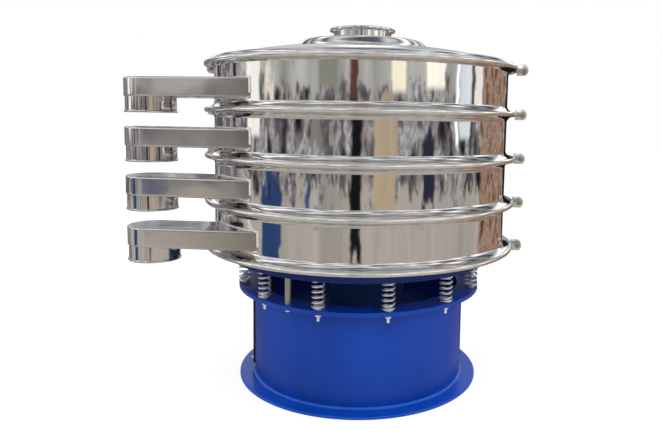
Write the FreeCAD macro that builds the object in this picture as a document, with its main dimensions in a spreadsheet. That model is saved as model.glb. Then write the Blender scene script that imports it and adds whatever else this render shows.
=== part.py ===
import FreeCAD, Part
import math
import os

import Sketcher

# Round vibrating screen with three sieves and four outlets, in millimetres.
# The origin is on the floor under the middle of the drum, +Z up, and the outlets point along -X.
# Angles round the machine are counted from the front, which is -Y, towards +X.

document = FreeCAD.newDocument("vibrating_screen")
sheet = document.addObject("Spreadsheet::Sheet", "Sizes")

# Driving dimensions
SIZES = {
    "shell_radius": 415,
    "shell_wall": 6,
    "floor_flange_reach": 59,
    "floor_flange_thickness": 10,
    "floor_flange_width": 79,
    "top_flange_reach": 61,
    "top_flange_underside": 355,
    "top_flange_thickness": 16,
    "top_flange_width": 81,
    "cover_angle": 19,
    "cover_low_gap": 20,
    "cover_top_gap": 19,
    "cover_thickness": 4,
    "gasket_thickness": 4,
    "opening_margin": 22,
    "spring_circle_reach": 39,
    "spring_count": 12,
    "spring_first_angle": -7.8,
    "spring_outer_radius": 24,
    "spring_wire": 7.5,
    "spring_length": 116,
    "seat_height": 14,
    "seat_clearance": 1.2,
    "post_count": 3,
    "post_first_angle": -22.8,
    "post_radius": 11,
    "post_gap": 10.5,
    "table_skirt_reach": 59,
    "table_skirt_wall": 8,
    "table_skirt_drop": 8,
    "table_height": 41.5,
    "table_plate_thickness": 10,
    "table_rim_thickness": 8,
    "motor_hole_radius": 120,
    "motor_flange_radius": 175,
    "motor_flange_thickness": 16,
    "motor_radius": 118,
    "motor_length": 210,
    "motor_end_radius": 92,
    "motor_end_length": 34,
    "motor_shaft_radius": 18,
    "motor_shaft_length": 40,
    "weight_radius": 96,
    "weight_collar_radius": 34,
    "weight_thickness": 26,
    "weight_angle": 150,
    "terminal_box_width": 90,
    "terminal_box_depth": 62,
    "terminal_box_height": 76,
    "drum_radius": 564,
    "drum_wall": 3,
    "clamp_pitch": 168,
    "lip_reach": 34,
    "lip_width": 11,
    "lip_thickness": 4.5,
    "lip_gap": 1.5,
    "flange_rise": 26,
    "flange_flare_radius": 36,
    "lid_flange_rise": 14,
    "flange_blend_radius": 14,
    "clamp_band_thickness": 2.5,
    "clamp_leg_width": 9,
    "clamp_leg_thickness": 2.5,
    "fit_clearance": 0.3,
    "clamp_gap": 14,
    "ear_thickness": 6,
    "ear_length": 42,
    "ear_height": 40,
    "ear_bolt_reach": 25,
    "clamp_bolt_radius": 5,
    "sieve_thickness": 1.5,
    "tray_rise": 55,
    "tray_thickness": 2.5,
    "tray_trough_width": 70,
    "chute_inset": 77.6,
    "chute_width": 176.8,
    "chute_reach": 110.3,
    "chute_height": 66.6,
    "chute_wall": 2.5,
    "chute_top_drop": 64,
    "lowest_chute_angle": 3.6,
    "spout_radius": 85,
    "spout_length": 54,
    "spout_bead": 3,
    "spout_bead_height": 6,
    "lid_edge_height": 20,
    "lid_edge_radius": 14,
    "lid_wall": 2.5,
    "lid_shelf_width": 38,
    "lid_crown_radius": 262,
    "lid_crown_height": 71,
    "lid_step_width": 18,
    "lid_step_height": 30,
    "lid_crown_arc": 1500,
    "inlet_radius": 112,
    "inlet_wall": 3,
    "inlet_height": 40,
    "inlet_rim_radius": 127.6,
    "inlet_rim_thickness": 10,
}


class Size:
    """A length or angle that knows its value and the expression that gives it."""

    def __init__(self, value, text):
        self.value = float(value)
        self.text = text

    def combine(self, other, sign, value):
        text = other.text if isinstance(other, Size) else repr(other)
        return Size(value, "(" + self.text + " " + sign + " " + text + ")")

    def __add__(self, other):
        return self.combine(other, "+", self.value + number(other))

    def __sub__(self, other):
        return self.combine(other, "-", self.value - number(other))

    def __mul__(self, other):
        return self.combine(other, "*", self.value * number(other))

    def __truediv__(self, other):
        return self.combine(other, "/", self.value / number(other))

    def __neg__(self):
        return Size(-self.value, "(-1 * " + self.text + ")")


def number(thing):
    return thing.value if isinstance(thing, Size) else float(thing)


def fill_sheet():
    """Write every driving dimension to the sheet and return them as sizes by name."""
    sizes = {}
    for row, (name, value) in enumerate(SIZES.items(), start=1):
        sheet.set("A" + str(row), name)
        sheet.set("B" + str(row), str(value))
        sheet.setAlias("B" + str(row), name)
        sizes[name] = Size(value, "Sizes." + name)
    document.recompute()
    return sizes


size = fill_sheet()
zero = Size(0, "0")
parts = {}


def bind(thing, name, amount):
    """Tie a property of an object to an expression of the sheet."""
    thing.setExpression(name, amount.text)


def keep(thing, label):
    """Record an object as a finished sub-part under its own name."""
    thing.Label = label
    parts[label] = thing
    return thing


def clamp_height(level):
    """Height of a clamp plane, counted from 0 at the lowest clamp to 4 under the lid."""
    return lowest_clamp + size["clamp_pitch"] * level


def profile_sketch(body, name, points, arcs=None):
    """Closed outline on the body's XZ plane from corners (radius, height).

    arcs gives, for a side that is curved, the number of its first corner with the radius of the
    arc and the side to which it bulges: 1 to the left of the way the outline runs, -1 to the right.
    """
    arcs = arcs or {}
    sketch = body.newObject("Sketcher::SketchObject", name)
    plane = [part for part in body.Origin.OriginFeatures if part.Role == "XZ_Plane"][0]
    sketch.AttachmentSupport = (plane, [""])
    sketch.MapMode = "FlatFace"
    corners = [FreeCAD.Vector(r.value, z.value, 0) for r, z in points]
    count = len(corners)
    for index in range(count):
        begin, end = corners[index], corners[(index + 1) % count]
        if index in arcs:
            radius, side = arcs[index]
            sketch.addGeometry(shallow_arc(begin, end, radius.value, side), False)
        else:
            sketch.addGeometry(Part.LineSegment(begin, end), False)
    starts = []
    ends = []
    for index in range(count):
        turned = index in arcs and arcs[index][1] > 0
        starts.append(2 if turned else 1)
        ends.append(1 if turned else 2)
    for index in range(count):
        after = (index + 1) % count
        sketch.addConstraint(Sketcher.Constraint("Coincident", index, ends[index], after, starts[after]))
    for index, (r, z) in enumerate(points):
        place_point(sketch, index, starts[index], "r" + str(index), "DistanceX", r)
        place_point(sketch, index, starts[index], "z" + str(index), "DistanceY", z)
    for index, (radius, side) in arcs.items():
        number_of = sketch.addConstraint(Sketcher.Constraint("Radius", index, radius.value))
        sketch.renameConstraint(number_of, "bend" + str(index))
        sketch.setExpression("Constraints.bend" + str(index), radius.text)
    return sketch


def shallow_arc(begin, end, radius, side):
    """Arc of the given radius between two points, less than half a turn."""
    middle = (begin + end) / 2
    chord = end - begin
    across = FreeCAD.Vector(-chord.y, chord.x, 0).normalize()
    depth = math.sqrt(max(radius**2 - (chord.Length / 2) ** 2, 0))
    centre = middle - across * depth * side
    first, last = (end, begin) if side > 0 else (begin, end)
    circle = Part.Circle(centre, FreeCAD.Vector(0, 0, 1), radius)
    start_angle = math.atan2(first.y - centre.y, first.x - centre.x)
    end_angle = math.atan2(last.y - centre.y, last.x - centre.x)
    return Part.ArcOfCircle(circle, start_angle, end_angle)


def place_point(sketch, line, point, name, kind, amount):
    """Fix one coordinate of a sketch point by a named, driven distance from the origin."""
    index = sketch.addConstraint(Sketcher.Constraint(kind, -1, 1, line, point, amount.value))
    sketch.renameConstraint(index, name)
    sketch.setExpression("Constraints." + name, amount.text)


def turned_body(name, points, arcs=None):
    """Body made by turning one outline about the vertical axis."""
    body = document.addObject("PartDesign::Body", name)
    sketch = profile_sketch(body, name + "_outline", points, arcs)
    turn = body.newObject("PartDesign::Revolution", name + "_turn")
    turn.Profile = sketch
    turn.ReferenceAxis = (sketch, ["V_Axis"])
    turn.Angle = 360
    body.Tip = turn
    return body


def cylinder(name, radius, height, low=zero, x=zero, y=zero):
    """Upright round bar standing at a height, with its axis at a place in plan."""
    bar = document.addObject("Part::Cylinder", name)
    bind(bar, "Radius", radius)
    bind(bar, "Height", height)
    bind(bar, "Placement.Base.x", x)
    bind(bar, "Placement.Base.y", y)
    bind(bar, "Placement.Base.z", low)
    return bar


def box(name, length, width, height, x, y, z):
    """Block with its low corner at a place."""
    block = document.addObject("Part::Box", name)
    bind(block, "Length", length)
    bind(block, "Width", width)
    bind(block, "Height", height)
    bind(block, "Placement.Base.x", x)
    bind(block, "Placement.Base.y", y)
    bind(block, "Placement.Base.z", z)
    return block


def cut(name, base, tool):
    result = document.addObject("Part::Cut", name)
    result.Base = base
    result.Tool = tool
    return result


def fuse(name, pieces):
    result = document.addObject("Part::MultiFuse", name)
    result.Shapes = pieces
    return result


def group(name, pieces):
    """Several like solids that share one sub-part."""
    result = document.addObject("Part::Compound", name)
    result.Links = pieces
    return result


def ring_place(circle_radius, first_angle, index, count):
    """Place in plan of one of a ring of like pieces, counted from the front towards +X."""
    turn = "(" + first_angle.text + " + " + str(index) + " * 360 / " + count.text + ") * 1 deg"
    angle = math.radians(first_angle.value + index * 360 / count.value)
    x = Size(circle_radius.value * math.sin(angle), circle_radius.text + " * sin(" + turn + ")")
    y = Size(-circle_radius.value * math.cos(angle), "-1 * " + circle_radius.text + " * cos(" + turn + ")")
    return x, y


def ring_of_cylinders(label, circle_radius, first_angle, count, radius, low, height):
    """A ring of like upright bars."""
    bars = []
    for index in range(int(count.value)):
        x, y = ring_place(circle_radius, first_angle, index, count)
        bars.append(cylinder(label + "_" + str(index + 1), radius, height, low, x, y))
    return keep(group(label + "_ring", bars), label)


# Radii that several pieces share
spring_circle = size["shell_radius"] + size["spring_circle_reach"]
lip_radius = size["drum_radius"] + size["lip_reach"]
chute_near_wall = size["drum_radius"] - size["chute_inset"]
chute_end = size["drum_radius"] + size["chute_reach"]

# Heights that several pieces share
cover_bottom = size["floor_flange_thickness"] + size["cover_low_gap"]
cover_height = size["top_flange_underside"] - size["cover_top_gap"] - cover_bottom
top_flange_top = size["top_flange_underside"] + size["top_flange_thickness"]
plate_underside = top_flange_top + size["spring_length"]
skirt_bottom = plate_underside - size["table_skirt_drop"]
table_top = plate_underside + size["table_height"]
lowest_clamp = table_top + size["lip_gap"]
lid_plane = clamp_height(4) + size["lip_gap"]


def build_floor_flange():
    outer = size["shell_radius"] + size["floor_flange_reach"]
    inner = outer - size["floor_flange_width"]
    top = size["floor_flange_thickness"]
    points = [(inner, zero), (outer, zero), (outer, top), (inner, top)]
    keep(turned_body("floor_flange_body", points), "floor_flange")


def build_base_shell():
    """Rolled shell between the two flanges, with an access opening behind the cover."""
    outer = size["shell_radius"]
    inner = outer - size["shell_wall"]
    low = size["floor_flange_thickness"]
    high = size["top_flange_underside"]
    shell = turned_body("base_shell_body", [(inner, low), (outer, low), (outer, high), (inner, high)])
    margin = size["opening_margin"]
    half_cover = Size(
        outer.value * math.sin(math.radians(size["cover_angle"].value)),
        outer.text + " * sin(" + size["cover_angle"].text + " * 1 deg)",
    )
    half_width = half_cover - margin
    opening = box(
        "access_opening",
        outer,
        half_width * 2,
        cover_height - margin * 2,
        -(outer + margin),
        -half_width,
        cover_bottom + margin,
    )
    keep(cut("base_shell_cut", shell, opening), "base_shell")


def build_top_flange():
    outer = size["shell_radius"] + size["top_flange_reach"]
    inner = outer - size["top_flange_width"]
    low = size["top_flange_underside"]
    points = [(inner, low), (outer, low), (outer, top_flange_top), (inner, top_flange_top)]
    keep(turned_body("base_top_flange_body", points), "base_top_flange")


def sector_plate(label, inner, thickness):
    """Curved plate centred under the outlets, as a sector between two radii."""
    turn = size["cover_angle"]
    plates = []
    for name, radius in (("outer", inner + thickness), ("inner", inner)):
        sector = cylinder(label + "_" + name, radius, cover_height, cover_bottom)
        sector.Placement.Rotation = FreeCAD.Rotation(FreeCAD.Vector(0, 0, 1), 180 - turn.value)
        sector.setExpression("Placement.Rotation.Angle", "(180 - " + turn.text + ") * 1 deg")
        if name == "outer":
            bind(sector, "Angle", turn * 2)
        plates.append(sector)
    keep(cut(label + "_cut", plates[0], plates[1]), label)


def build_access_cover():
    sector_plate("access_gasket", size["shell_radius"], size["gasket_thickness"])
    cover_inner = size["shell_radius"] + size["gasket_thickness"]
    sector_plate("access_cover", cover_inner, size["cover_thickness"])


def build_limit_posts():
    """Posts on the base flange that stop short of the vibrating table."""
    height = size["spring_length"] - size["post_gap"]
    ring_of_cylinders(
        "limit_posts",
        spring_circle,
        size["post_first_angle"],
        size["post_count"],
        size["post_radius"],
        top_flange_top,
        height,
    )


def build_spring_seats():
    """Locating bosses inside both ends of every spring."""
    radius = size["spring_outer_radius"] - size["spring_wire"] - size["seat_clearance"]
    first = size["spring_first_angle"]
    count = size["spring_count"]
    height = size["seat_height"]
    ring_of_cylinders("lower_spring_seats", spring_circle, first, count, radius, top_flange_top, height)
    low = plate_underside - height
    ring_of_cylinders("upper_spring_seats", spring_circle, first, count, radius, low, height)


def build_springs():
    """Coil springs between the base flange and the table plate, each as the tube that it fills."""
    outer = size["spring_outer_radius"]
    length = size["spring_length"]
    for index in range(int(size["spring_count"].value)):
        label = "spring_" + str(index + 1).zfill(2)
        x, y = ring_place(
            spring_circle, size["spring_first_angle"], index, size["spring_count"]
        )
        body = cylinder(label + "_outer", outer, length, top_flange_top, x, y)
        hollow = cylinder(label + "_inner", outer - size["spring_wire"], length, top_flange_top, x, y)
        keep(cut(label + "_tube", body, hollow), label)


def build_table():
    """Vibrating table: a skirt with a wide rim that the drum is clamped to, and its plate."""
    skirt = spring_circle + size["table_skirt_reach"]
    inner = skirt - size["table_skirt_wall"]
    rim_low = table_top - size["table_rim_thickness"]
    lip = lip_radius
    lip_inner = lip - size["lip_width"]
    lip_low = table_top - size["lip_thickness"]
    points = [
        (inner, skirt_bottom),
        (skirt, skirt_bottom),
        (skirt, rim_low - size["flange_blend_radius"]),
        (skirt + size["flange_blend_radius"], rim_low),
        (lip_inner, rim_low),
        (lip_inner, lip_low),
        (lip, lip_low),
        (lip, table_top),
        (inner, table_top),
    ]
    keep(turned_body("table_rim_body", points, {2: (size["flange_blend_radius"], 1)}), "table_rim")
    hole = size["motor_hole_radius"]
    plate_top = plate_underside + size["table_plate_thickness"]
    plate = [(hole, plate_underside), (inner, plate_underside), (inner, plate_top), (hole, plate_top)]
    keep(turned_body("table_plate_body", plate), "table_plate")


def build_motor():
    """Vertical motor hung from the table plate, with its lower eccentric weight."""
    top = plate_underside
    flange_low = top - size["motor_flange_thickness"]
    barrel_low = flange_low - size["motor_length"]
    end_low = barrel_low - size["motor_end_length"]
    shaft_low = end_low - size["motor_shaft_length"]
    barrel = size["motor_radius"]
    points = [
        (zero, shaft_low),
        (size["motor_shaft_radius"], shaft_low),
        (size["motor_shaft_radius"], end_low),
        (size["motor_end_radius"], end_low),
        (barrel, barrel_low),
        (barrel, flange_low),
        (size["motor_flange_radius"], flange_low),
        (size["motor_flange_radius"], top),
        (zero, top),
    ]
    keep(turned_body("motor_body", points), "motor")
    weight_low = end_low - (size["motor_shaft_length"] + size["weight_thickness"]) / 2
    sector = cylinder("weight_sector", size["weight_radius"], size["weight_thickness"], weight_low)
    bind(sector, "Angle", size["weight_angle"])
    collar = cylinder("weight_collar", size["weight_collar_radius"], size["weight_thickness"], weight_low)
    bore = cylinder("weight_bore", size["motor_shaft_radius"], size["weight_thickness"], weight_low)
    weight = cut("weight_cut", fuse("weight_solid", [sector, collar]), bore)
    keep(weight, "eccentric_weight")
    height = size["terminal_box_height"]
    width = size["terminal_box_width"]
    reach = barrel + size["terminal_box_depth"]
    low = flange_low - (size["motor_length"] + height) / 2
    block = box("terminal_block", reach, width, height, zero, -width / 2, low)
    core = cylinder("terminal_core", barrel, height, low)
    keep(cut("terminal_box_cut", block, core), "motor_terminal_box")


def frame_points(low, high, top_rise):
    """Outline of one screen frame: drum wall with a flared flange and clamp lip at both ends.

    The flares are hollow curves, like sheet that is spun outwards over a ring.
    """
    wall = size["drum_wall"]
    drum = size["drum_radius"]
    inner = drum - wall
    lip = lip_radius
    lip_inner = lip - size["lip_width"]
    thick = size["lip_thickness"]
    rise = size["flange_rise"]
    low_lip = low + thick
    high_lip = high - thick
    return [
        (lip, low),
        (lip, low_lip),
        (lip_inner, low_lip),
        (drum, low + rise),
        (drum, high - top_rise),
        (lip_inner, high_lip),
        (lip, high_lip),
        (lip, high),
        (lip_inner - wall, high),
        (inner, high - top_rise),
        (inner, low + rise),
        (lip_inner - wall, low),
    ]


def build_frames():
    """Four clamped drum frames, counted from the top, each cut open for its outlet."""
    for number_of in range(1, 5):
        level = 4 - number_of
        label = "screen_frame_" + str(number_of)
        low = clamp_height(level) + size["lip_gap"]
        high = clamp_height(level + 1) - size["lip_gap"]
        rise = size["lid_flange_rise"] if number_of == 1 else size["flange_rise"]
        flare = size["flange_flare_radius"]
        inner_flare = flare + size["drum_wall"]
        arcs = {2: (flare, 1), 4: (flare, 1), 8: (inner_flare, -1), 10: (inner_flare, -1)}
        body = turned_body(label + "_body", frame_points(low, high, rise), arcs)
        window = chute_space(label + "_window", level)
        keep(cut(label + "_cut", body, turned_chute(window, number_of)), label)


def chute_top(level):
    return clamp_height(level + 1) - size["chute_top_drop"]


def turned_chute(thing, number_of):
    """The lowest frame stands a few degrees round from the others."""
    if number_of == 4:
        thing.Placement.Rotation = FreeCAD.Rotation(FreeCAD.Vector(0, 0, 1), 1)
        thing.setExpression("Placement.Rotation.Angle", size["lowest_chute_angle"].text + " * 1 deg")
    return thing


def chute_block(name, level, inset, with_spout):
    """Flat duct with a round end and a spout below it, made smaller all round by inset."""
    near = chute_near_wall - inset
    width = size["chute_width"] - inset * 2
    top = chute_top(level) - inset
    height = size["chute_height"] - inset * 2
    low = top - height
    middle = near - width / 2
    duct = box(name + "_duct", chute_end, width, height, -chute_end, -near, low)
    cap = cylinder(name + "_cap", width / 2, height, low, -chute_end, -middle)
    pieces = [duct, cap]
    if with_spout:
        reach = size["spout_length"] + inset
        spout_low = low - reach
        spout = cylinder(
            name + "_spout", size["spout_radius"] - inset, reach, spout_low, -chute_end, -middle
        )
        pieces.append(spout)
    return pieces


def chute_space(name, level):
    """Inside of a chute where it passes through the drum wall."""
    return fuse(name, chute_block(name, level, size["chute_wall"], False))


def build_chutes():
    """Tangential outlet chutes, open into the drum and down through a round spout."""
    for number_of in range(1, 5):
        level = 4 - number_of
        label = "outlet_chute_" + str(number_of)
        pieces = chute_block(label + "_outside", level, zero, True)
        middle = chute_near_wall - size["chute_width"] / 2
        bead_low = chute_top(level) - size["chute_height"] - size["spout_length"]
        bead_radius = size["spout_radius"] + size["spout_bead"]
        bead = cylinder(
            label + "_bead", bead_radius, size["spout_bead_height"], bead_low, -chute_end, -middle
        )
        outside = fuse(label + "_outside", pieces + [bead])
        inside = fuse(label + "_inside", chute_block(label + "_inside", level, size["chute_wall"], True))
        shell = cut(label + "_shell", outside, inside)
        drum = cylinder(
            label + "_drum", size["drum_radius"], size["clamp_pitch"] * 2, clamp_height(level - 1)
        )
        keep(turned_chute(cut(label + "_cut", shell, drum), number_of), label)


def clamp_points(plane):
    """Outline of a clamp band: a channel whose legs hold the two lips together."""
    grip = size["lip_gap"] + size["lip_thickness"] + size["fit_clearance"]
    inner = lip_radius + size["fit_clearance"]
    outer = inner + size["clamp_band_thickness"]
    leg = inner - size["clamp_leg_width"]
    leg_outside = grip + size["clamp_leg_thickness"]
    return [
        (leg, plane - leg_outside),
        (outer, plane - leg_outside),
        (outer, plane + leg_outside),
        (leg, plane + leg_outside),
        (leg, plane + grip),
        (inner, plane + grip),
        (inner, plane - grip),
        (leg, plane - grip),
    ]


def build_clamp_rings():
    """Two-part clamp bands with bolted ears on both sides of the machine."""
    outer = lip_radius + size["fit_clearance"] + size["clamp_band_thickness"]
    inner = lip_radius + size["fit_clearance"]
    back_ear = size["clamp_gap"] / 2
    front_ear = -(back_ear + size["ear_thickness"])
    for number_of in range(1, 6):
        label = "clamp_ring_" + str(number_of)
        plane = clamp_height(5 - number_of)
        band = turned_body(label + "_band", clamp_points(plane))
        slot = box(
            label + "_slot",
            outer * 2,
            size["clamp_gap"],
            size["ear_height"],
            -outer,
            -size["clamp_gap"] / 2,
            plane - size["ear_height"] / 2,
        )
        pieces = [cut(label + "_split", band, slot)]
        for side, sign in (("right", 1), ("left", -1)):
            x = inner if sign > 0 else -(inner + size["ear_length"])
            for edge, y in (("front", front_ear), ("back", back_ear)):
                pieces.append(
                    box(
                        label + "_ear_" + side + "_" + edge,
                        size["ear_length"],
                        size["ear_thickness"],
                        size["ear_height"],
                        x,
                        y,
                        plane - size["ear_height"] / 2,
                    )
                )
            pieces.append(clamp_bolt(label + "_bolt_" + side, sign, inner, plane))
        keep(fuse(label + "_fuse", pieces), label)


def clamp_bolt(name, sign, inner, plane):
    """Bolt through a pair of ears."""
    bolt = document.addObject("Part::Cylinder", name)
    length = size["clamp_gap"] + size["ear_thickness"] * 2
    bind(bolt, "Radius", size["clamp_bolt_radius"])
    bind(bolt, "Height", length)
    bolt.Placement.Rotation = FreeCAD.Rotation(FreeCAD.Vector(1, 0, 0), 90)
    reach = inner + size["ear_bolt_reach"]
    bind(bolt, "Placement.Base.x", reach * sign)
    bind(bolt, "Placement.Base.y", length / 2)
    bind(bolt, "Placement.Base.z", plane)
    return bolt


def build_sieves():
    """Three sieves, each a thin disc in a ring that is clamped between two lips."""
    ring_inner = size["drum_radius"] - size["drum_wall"]
    ring_outer = lip_radius
    for number_of in range(1, 4):
        plane = clamp_height(4 - number_of)
        half = size["sieve_thickness"] / 2
        gap = size["lip_gap"]
        points = [
            (zero, plane - half),
            (ring_inner, plane - half),
            (ring_inner, plane - gap),
            (ring_outer, plane - gap),
            (ring_outer, plane + gap),
            (ring_inner, plane + gap),
            (ring_inner, plane + half),
            (zero, plane + half),
        ]
        label = "sieve_" + str(number_of)
        keep(turned_body(label + "_body", points), label)


def build_bottom_tray():
    """Crowned floor of the lowest frame, with a trough round it and a lip in the lowest clamp."""
    plane = clamp_height(0)
    gap = size["lip_gap"]
    thick = size["tray_thickness"]
    lip = lip_radius
    trough = size["drum_radius"] - size["drum_wall"]
    crown = trough - size["tray_trough_width"]
    top = plane + size["tray_rise"]
    points = [
        (zero, top - thick),
        (crown, plane - gap),
        (lip, plane - gap),
        (lip, plane + gap),
        (crown, plane - gap + thick),
        (zero, top),
    ]
    keep(turned_body("bottom_tray_body", points), "bottom_tray")


def build_lid():
    """Dished lid: rolled edge, flat shelf, crowned band and a raised centre with the inlet hole."""
    wall = size["lid_wall"]
    lip = lip_radius
    lip_inner = lip - size["lip_width"]
    thick = size["lip_thickness"]
    edge = lid_plane + size["lid_edge_height"]
    shelf = lip_inner - size["lid_edge_radius"]
    shelf_end = shelf - size["lid_shelf_width"]
    crown = size["lid_crown_radius"]
    crown_top = lid_plane + size["lid_crown_height"]
    step = crown - size["lid_step_width"]
    step_top = crown_top + size["lid_step_height"]
    hole = size["inlet_radius"]
    outside = [
        (lip, lid_plane),
        (lip, lid_plane + thick),
        (lip_inner, lid_plane + thick),
        (shelf, edge),
        (shelf_end, edge + wall),
        (crown, crown_top),
        (step, step_top),
        (hole, step_top),
    ]
    inside = [
        (hole, step_top - wall),
        (step - wall, step_top - wall),
        (crown - wall, crown_top - wall),
        (shelf_end - wall, edge),
        (shelf - wall, edge - wall),
        (lip_inner - wall, lid_plane),
    ]
    arcs = {
        2: (size["lid_edge_height"], -1),
        4: (size["lid_crown_arc"], -1),
        10: (size["lid_crown_arc"] - wall, 1),
        12: (size["lid_edge_height"] - wall, 1),
    }
    keep(turned_body("lid_body", outside + inside, arcs), "lid")
    gap = size["lip_gap"]
    plane = clamp_height(4)
    seal_inner = lip_inner
    seal = [(seal_inner, plane - gap), (lip, plane - gap), (lip, plane + gap), (seal_inner, plane + gap)]
    keep(turned_body("lid_seal_body", seal), "lid_seal")


def build_inlet():
    """Feed inlet: a short pipe on the lid with a flat rim for a cover or a sleeve."""
    outer = size["inlet_radius"]
    inner = outer - size["inlet_wall"]
    low = lid_plane + size["lid_crown_height"] + size["lid_step_height"] - size["lid_wall"]
    rim_low = lid_plane + size["lid_crown_height"] + size["lid_step_height"] + size["inlet_height"]
    rim_top = rim_low + size["inlet_rim_thickness"]
    points = [
        (inner, low),
        (outer, low),
        (outer, rim_low),
        (size["inlet_rim_radius"], rim_low),
        (size["inlet_rim_radius"], rim_top),
        (inner, rim_top),
    ]
    keep(turned_body("inlet_body", points), "inlet")


def check_and_write():
    """Refuse to write anything unless every feature and every sub-part is sound."""
    document.recompute()
    for thing in document.Objects:
        if "Invalid" in thing.State or "Error" in thing.State:
            raise RuntimeError("feature failed: " + thing.Name)
    for label, thing in parts.items():
        if thing.Shape.isNull() or not thing.Shape.isValid():
            raise RuntimeError("bad shape: " + label)
        if not thing.Shape.Solids:
            raise RuntimeError("no solid: " + label)
    os.makedirs("parts", exist_ok=True)
    for label, thing in parts.items():
        thing.Shape.exportStep("parts/" + label + ".step")
        print(label, len(thing.Shape.Solids), round(thing.Shape.Volume / 1000, 1))


build_floor_flange()
build_base_shell()
build_top_flange()
build_access_cover()
build_limit_posts()
build_spring_seats()
build_springs()
build_table()
build_motor()
build_frames()
build_chutes()
build_clamp_rings()
build_sieves()
build_bottom_tray()
build_lid()
build_inlet()
check_and_write()
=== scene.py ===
from math import atan2, cos, pi, radians, sin, sqrt, tan

import bmesh
import bpy
from mathutils import Matrix, Vector, noise


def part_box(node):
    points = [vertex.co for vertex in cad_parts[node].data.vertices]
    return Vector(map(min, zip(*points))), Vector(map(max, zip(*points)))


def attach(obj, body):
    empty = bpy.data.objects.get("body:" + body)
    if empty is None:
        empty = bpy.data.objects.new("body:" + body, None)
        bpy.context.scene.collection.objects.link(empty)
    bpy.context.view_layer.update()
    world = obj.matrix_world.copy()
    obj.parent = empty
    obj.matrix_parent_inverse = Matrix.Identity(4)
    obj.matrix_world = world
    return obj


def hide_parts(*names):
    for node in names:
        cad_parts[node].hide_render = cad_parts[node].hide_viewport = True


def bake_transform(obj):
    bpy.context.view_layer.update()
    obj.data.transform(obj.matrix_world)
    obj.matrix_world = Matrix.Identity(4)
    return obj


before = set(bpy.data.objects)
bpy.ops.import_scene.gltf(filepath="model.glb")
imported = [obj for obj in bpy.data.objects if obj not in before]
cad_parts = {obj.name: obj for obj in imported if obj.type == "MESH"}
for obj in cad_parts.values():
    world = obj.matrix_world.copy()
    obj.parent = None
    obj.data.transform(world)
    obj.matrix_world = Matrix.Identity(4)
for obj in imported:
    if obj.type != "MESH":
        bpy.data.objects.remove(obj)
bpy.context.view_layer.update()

# Sizes in metres, as in the solids
DRUM_RADIUS = 0.564
DRUM_WALL = 0.003
LIP_RADIUS = 0.598
LIP_WIDTH = 0.011
LIP_INNER = LIP_RADIUS - LIP_WIDTH
LIP_THICKNESS = 0.0045
LIP_GAP = 0.0015
FLANGE_RISE = 0.026
LID_FLANGE_RISE = 0.014
FLARE_RADIUS = 0.036
LOWEST_CLAMP = 0.53
CLAMP_PITCH = 0.168
CLAMP_GAP = 0.014
CLAMP_BAND = 0.0025
CLAMP_LEG = 0.009
BAND_EASE = 0.0002
FIT = 0.0003
CLAMP_INNER = LIP_RADIUS + FIT
SHELL_RADIUS = 0.415
SPRING_CIRCLE = 0.454
SPRING_COUNT = 12
SPRING_FIRST_ANGLE = -7.8
SPRING_RADIUS = 0.024
SPRING_WIRE = 0.0075
SPRING_TURNS = 7.0
POST_FIRST_ANGLE = -22.8
POST_COUNT = 3
POST_RADIUS = 0.011
CHUTE_NEAR_WALL = 0.4864
CHUTE_WIDTH = 0.1768
CHUTE_END = 0.6743
CHUTE_HEIGHT = 0.0666
CHUTE_WALL = 0.0025
CHUTE_TOP_DROP = 0.064
CHUTE_BEND = 0.006
CHUTE_MIDDLE = CHUTE_WIDTH / 2 - CHUTE_NEAR_WALL
LOWEST_CHUTE_TURN = 3.6
SPOUT_RADIUS = 0.085
SPOUT_LENGTH = 0.054
EAR_LENGTH = 0.042
EAR_HEIGHT = 0.04
EAR_THICKNESS = 0.006
EAR_END = 0.013
INLET_RADIUS = 0.112
INLET_BORE = 0.109
INLET_RIM = 0.1276
BASE_BORE = 0.395
FOOT_RADIUS = 0.474
TOP_FLANGE_RADIUS = 0.476
SKIRT_RADIUS = 0.513
SKIRT_WALL = 0.008
RIM_THICKNESS = 0.008
COVER_RADIUS = 0.423
COVER_BOLT_ANGLE = 16.5
COVER_BOLT_EDGE = 0.016
MOTOR_FLANGE = 0.016
MOTOR_BOLT_CIRCLE = 0.15

# Sizes that only the scene has
CLAMP_ROUND = 0.008
SEAM_FIRST_ANGLE = 118.0
SEAM_TURN = 9.0
SEAM_RADIUS = 0.0022
SEAM_DEPTH = 0.0012
SADDLE_WELD = 0.0042
EAR_SINK = 0.002
EAR_BEVEL = 0.0011
EAR_BOLT = 0.0105
EAR_BOLT_REACH = 0.0245
EAR_BOLT_SHANK = 0.005
SPRING_NUT = 0.0115
POST_NUT = 0.0105
COVER_BOLT = 0.0075
MOTOR_BOLT = 0.012
WELD_STEP = 0.005
PLATE_EASE = 0.0002
SUPPORT = 0.002
CUT_REACH = 0.05
RIPPLES = 60
CORNER_STEPS = 4
COIL_STEPS = 26
ROUND_STEPS = 256
CHUTE_END_STEPS = 24
DRUM_SHARP = 35.0
MOVING = "vibrating_body"

UP = Vector((0, 0, 1))
DOWN = Vector((0, 0, -1))


def angle_place(radius, degrees, height):
    """A point on a circle, its angle counted from the front towards +X."""
    turn = radians(degrees)
    return Vector((radius * sin(turn), -radius * cos(turn), height))


# Mesh tools

def shade(data, sharp):
    """Smooth shading, with sharp edges above an angle in degrees."""
    data.polygons.foreach_set("use_smooth", [True] * len(data.polygons))
    data.set_sharp_from_angle(angle=radians(sharp))


def linked(name, data):
    """A new object in the scene."""
    obj = bpy.data.objects.new(name, data)
    bpy.context.scene.collection.objects.link(obj)
    return obj


def from_bmesh(name, mesh, sharp=40.0):
    data = bpy.data.meshes.new(name)
    mesh.to_mesh(data)
    mesh.free()
    shade(data, sharp)
    return linked(name, data)


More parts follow.
